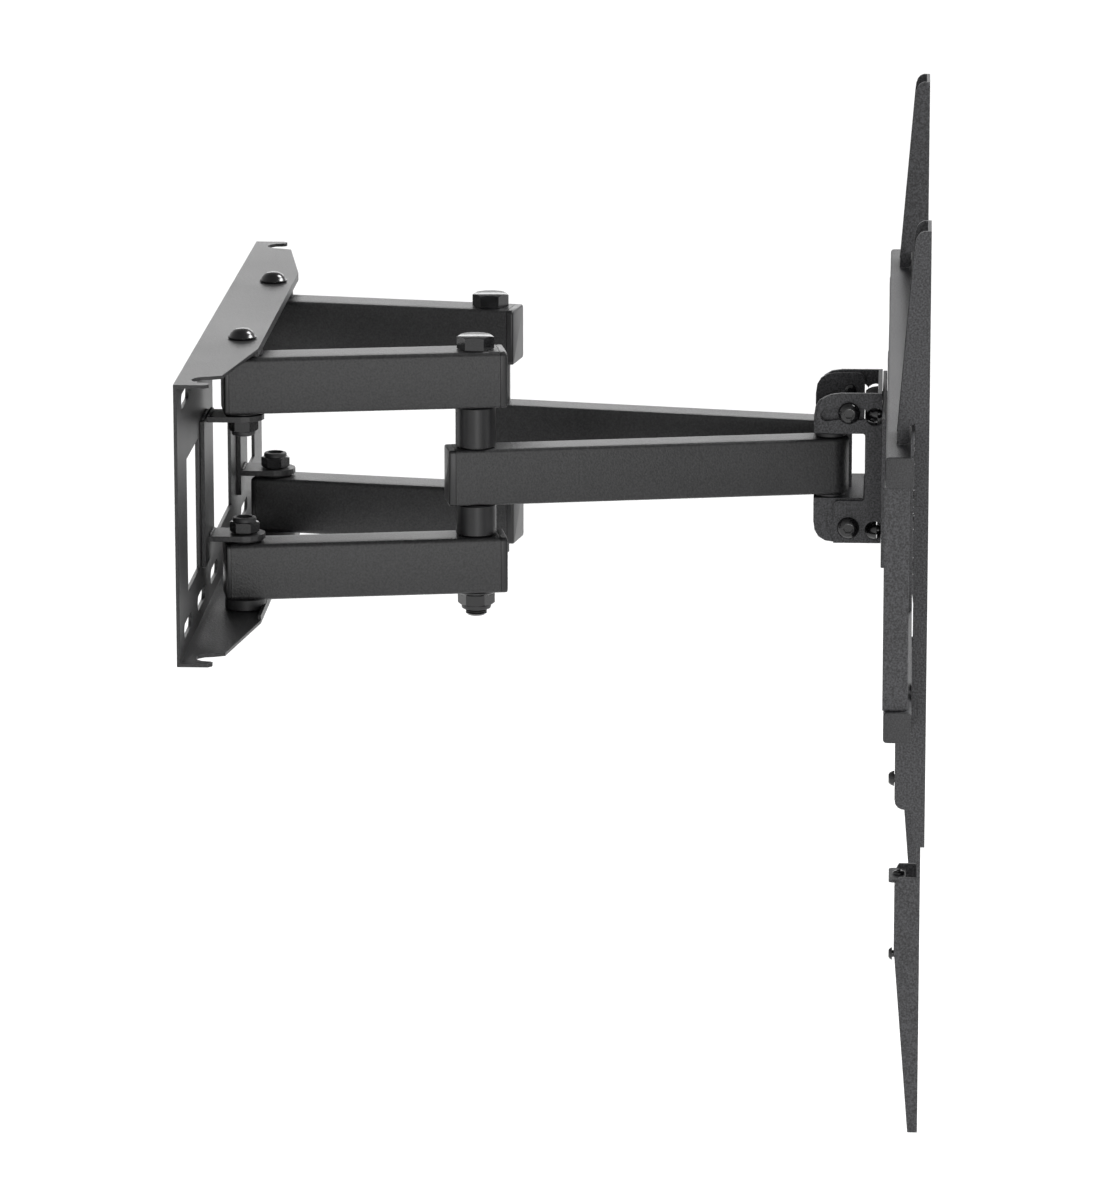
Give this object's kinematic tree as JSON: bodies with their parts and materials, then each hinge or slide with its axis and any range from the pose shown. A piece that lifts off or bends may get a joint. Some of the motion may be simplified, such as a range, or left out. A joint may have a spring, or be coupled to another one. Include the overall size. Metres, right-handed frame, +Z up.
{
  "type": "full motion tv wall mount",
  "caption": "Folding twin-arm television wall mount with a channel wall plate, tilting head, level adjustment and sliding upright brackets.",
  "frame": {"origin": "on the wall, at the middle of the upper row of lag slots in the wall plate", "axes": "+Y into the wall, +Z up, +X to the right of a person who faces the wall; the mount stands out along -Y"},
  "size_m": [0.834, 0.5334, 0.6475],
  "materials": {
    "satin_coat": "satin black powder coat",
    "textured_coat": "fine textured black powder coat",
    "end_caps": "moulded black plastic",
    "black_fasteners": "black oxide steel, slightly glossy"
  },
  "bodies": {
    "wall": {"wall_plate": "satin_coat", "pivot_bracket_left": "satin_coat", "pivot_bracket_right": "satin_coat", "wall_bolt_upper_left": "black_fasteners", "wall_bolt_upper_right": "black_fasteners", "wall_bolt_lower_left": "black_fasteners", "wall_bolt_lower_right": "black_fasteners", "wall_nut_upper_left": "black_fasteners", "wall_nut_upper_right": "black_fasteners", "wall_nut_lower_left": "black_fasteners", "wall_nut_lower_right": "black_fasteners"},
    "rear_arm_left": {"rear_arm_upper_left": "satin_coat", "rear_arm_lower_left": "satin_coat", "rear_cap_upper_left": "end_caps", "rear_cap_lower_left": "end_caps", "elbow_bolt_left": "black_fasteners", "elbow_nut_left": "black_fasteners", "elbow_spacer_upper_left": "satin_coat", "elbow_spacer_lower_left": "satin_coat"},
    "front_arm_left": {"front_arm_left": "satin_coat", "front_cap_left": "end_caps"},
    "rear_arm_right": {"rear_arm_upper_right": "satin_coat", "rear_arm_lower_right": "satin_coat", "rear_cap_upper_right": "end_caps", "rear_cap_lower_right": "end_caps", "elbow_bolt_right": "black_fasteners", "elbow_nut_right": "black_fasteners", "elbow_spacer_upper_right": "satin_coat", "elbow_spacer_lower_right": "satin_coat"},
    "front_arm_right": {"front_arm_right": "satin_coat", "front_cap_right": "end_caps"},
    "head": {"knuckle": "textured_coat", "head_bolt_left": "black_fasteners", "head_bolt_right": "black_fasteners", "head_nut_left": "black_fasteners", "head_nut_right": "black_fasteners", "tilt_pivot_screw_left": "black_fasteners", "tilt_pivot_screw_right": "black_fasteners", "tilt_lock_screw_left": "black_fasteners", "tilt_lock_screw_right": "black_fasteners"},
    "tilting_head": {"tilt_bracket": "textured_coat"},
    "tv_frame": {"level_plate": "textured_coat", "upper_rail": "textured_coat", "lower_rail": "textured_coat", "centre_plate": "textured_coat", "centre_upright_left": "textured_coat", "centre_upright_right": "textured_coat", "end_upright_left": "textured_coat", "end_upright_right": "textured_coat", "upper_rail_cap_left": "end_caps", "upper_rail_cap_right": "end_caps", "lower_rail_cap_left": "end_caps", "lower_rail_cap_right": "end_caps"},
    "tv_bracket_left": {"tv_bracket_left": "textured_coat", "bracket_extension_left": "textured_coat", "lock_screw_left": "black_fasteners"},
    "tv_bracket_right": {"tv_bracket_right": "textured_coat", "bracket_extension_right": "textured_coat", "lock_screw_right": "black_fasteners"}
  },
  "joints": [
    {"name": "left_arm_fold", "type": "hinge", "parent": "wall", "child": "rear_arm_left", "pos_m": [-0.118, -0.031, -0.084], "axis": [0, 0, -1], "range_deg": [0, 84]},
    {"name": "right_arm_fold", "type": "hinge", "parent": "wall", "child": "rear_arm_right", "pos_m": [0.118, -0.031, -0.084], "axis": [0, 0, 1], "range_deg": [0, 84]},
    {"name": "left_elbow", "type": "hinge", "parent": "rear_arm_left", "child": "front_arm_left", "pos_m": [-0.087, -0.2, -0.084], "axis": [0, 0, 1], "range_deg": [0, 143]},
    {"name": "right_elbow", "type": "hinge", "parent": "rear_arm_right", "child": "front_arm_right", "pos_m": [0.087, -0.2, -0.084], "axis": [0, 0, -1], "range_deg": [0, 143]},
    {"name": "head_turn", "type": "hinge", "parent": "front_arm_left", "child": "head", "pos_m": [-0.033, -0.461, -0.084], "axis": [0, 0, -1], "range_deg": [0, 59]},
    {"name": "tilt", "type": "hinge", "parent": "head", "child": "tilting_head", "pos_m": [0, -0.475, -0.134], "axis": [1, 0, 0], "range_deg": [-5, 10]},
    {"name": "level", "type": "hinge", "parent": "tilting_head", "child": "tv_frame", "pos_m": [0, -0.501, -0.094], "axis": [0, 1, 0], "range_deg": [-3, 3]},
    {"name": "left_bracket_slide", "type": "slide", "parent": "tv_frame", "child": "tv_bracket_left", "axis": [1, 0, 0], "range_m": [-0.03, 0.24]},
    {"name": "right_bracket_slide", "type": "slide", "parent": "tv_frame", "child": "tv_bracket_right", "axis": [-1, 0, 0], "range_m": [-0.03, 0.24]}
  ],
  "couplings": [
    {"joint": "right_arm_fold", "follows": "left_arm_fold", "ratio": 1},
    {"joint": "left_elbow", "follows": "left_arm_fold", "ratio": 1.695},
    {"joint": "right_elbow", "follows": "left_arm_fold", "ratio": 1.695},
    {"joint": "head_turn", "follows": "left_arm_fold", "ratio": 0.695}
  ]
}
